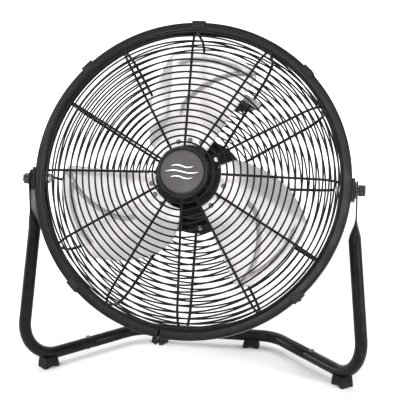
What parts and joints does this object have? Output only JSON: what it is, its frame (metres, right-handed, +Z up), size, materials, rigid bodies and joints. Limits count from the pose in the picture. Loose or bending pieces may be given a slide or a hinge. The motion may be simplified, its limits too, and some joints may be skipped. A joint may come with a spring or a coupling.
{
  "type": "tilting drum floor fan",
  "caption": "Round wire-guarded drum fan that tilts between the arms of a bent tube floor stand, with side knobs and a rear carrying handle.",
  "frame": {"origin": "centre of the whole fan's box, on the floor that its feet rest on", "axes": "+Z up; +X to the right seen from the front; the fan blows towards -Y; the tilt axis is along X"},
  "size_m": [0.6112, 0.3136, 0.6189],
  "materials": {
    "stand_paint": "semi-gloss black paint on steel tube",
    "hoop_paint": "semi-gloss black paint",
    "guard_paint": "semi-gloss black dip coating on steel wire",
    "foot_rubber": "moulded, matt",
    "zinc_steel": "bright zinc plate",
    "dark_screw": "black oxide",
    "clip_plastic": "fine grain black",
    "badge_rim": "glossy black",
    "badge_face": "satin grey",
    "plate_paint": "black paint on pressed steel",
    "motor_paint": "black paint on drawn steel",
    "lamination_steel": "varnished laminations",
    "copper_winding": "enamelled copper wire",
    "bearing_steel": "ground steel",
    "housing_plastic": "fine grain black",
    "switch_plastic": "cream moulding",
    "capacitor_case": "smooth white case",
    "gland_rubber": "smooth black",
    "handle_grip": "soft grained black",
    "bracket_paint": "semi-gloss black paint",
    "friction_fibre": "pressed dark fibre",
    "shaft_steel": "ground steel",
    "hub_casting": "cast, painted dark",
    "spider_paint": "dark paint on pressed steel",
    "blade_aluminium": "satin mill finish",
    "knob_plastic": "moulded black",
    "switch_knob": "moulded black"
  },
  "bodies": {
    "stand": {"left_stand_tube": "stand_paint", "right_stand_tube": "stand_paint", "rear_base_tube": "stand_paint", "base_joint_screws": "zinc_steel", "front_feet": "foot_rubber", "rear_feet": "foot_rubber", "foot_screws": "zinc_steel"},
    "head": {"rim_hoop": "hoop_paint", "hoop_clamp_screw": "dark_screw", "hoop_clamp_nut": "dark_screw", "rim_clips": "clip_plastic", "clip_screws": "dark_screw", "front_ribs": "guard_paint", "front_face_rings": "guard_paint", "front_edge_rings": "guard_paint", "badge_cup": "badge_rim", "badge_disc": "badge_face", "badge_backing": "plate_paint", "badge_screw": "zinc_steel", "rear_ribs": "guard_paint", "rear_face_rings": "guard_paint", "rear_edge_rings": "guard_paint", "rear_mount_plate": "plate_paint", "mount_plate_screws": "zinc_steel", "motor_front_shell": "motor_paint", "motor_rear_shell": "motor_paint", "motor_through_bolts": "zinc_steel", "stator_core": "lamination_steel", "stator_windings": "copper_winding", "front_bearing": "bearing_steel", "rear_bearing": "bearing_steel", "switch_housing": "housing_plastic", "housing_screws": "zinc_steel", "rotary_switch": "switch_plastic", "run_capacitor": "capacitor_case", "cord_gland": "gland_rubber", "carry_handle": "handle_grip", "handle_backing_plates": "zinc_steel", "handle_screws": "zinc_steel", "pivot_brackets": "bracket_paint", "pivot_inner_brackets": "bracket_paint", "friction_washers": "friction_fibre", "pivot_washers": "zinc_steel", "pivot_nuts": "zinc_steel"},
    "rotor": {"motor_shaft": "shaft_steel", "rotor_core": "lamination_steel", "fan_hub": "hub_casting", "blade_spider": "spider_paint", "hub_set_screw": "dark_screw", "hub_nut": "zinc_steel", "blade_1": "blade_aluminium", "blade_2": "blade_aluminium", "blade_3": "blade_aluminium", "blade_rivets": "zinc_steel"},
    "left_knob": {"left_knob_grip": "knob_plastic", "left_knob_stud": "shaft_steel"},
    "right_knob": {"right_knob_grip": "knob_plastic", "right_knob_stud": "shaft_steel"},
    "speed_knob": {"speed_knob": "switch_knob"}
  },
  "joints": [
    {"name": "tilt", "type": "hinge", "parent": "stand", "child": "head", "pos_m": [0, -0.02107, 0.352], "axis": [-1, 0, 0], "range_deg": [-36, 69]},
    {"name": "fan_spin", "type": "hinge", "parent": "head", "child": "rotor", "pos_m": [0, -0.0182, 0.35947], "axis": [0, 0.9336, -0.3584], "continuous": true},
    {"name": "left_knob_turn", "type": "hinge", "parent": "head", "child": "left_knob", "pos_m": [-0.2768, -0.02107, 0.352], "axis": [-1, 0, 0], "range_deg": [0, 360]},
    {"name": "right_knob_turn", "type": "hinge", "parent": "head", "child": "right_knob", "pos_m": [0.2768, -0.02107, 0.352], "axis": [1, 0, 0], "range_deg": [0, 360]},
    {"name": "speed_switch", "type": "hinge", "parent": "head", "child": "speed_knob", "pos_m": [0, 0.09383, 0.31646], "axis": [0, -0.9336, 0.3584], "range_deg": [0, 135]}
  ]
}
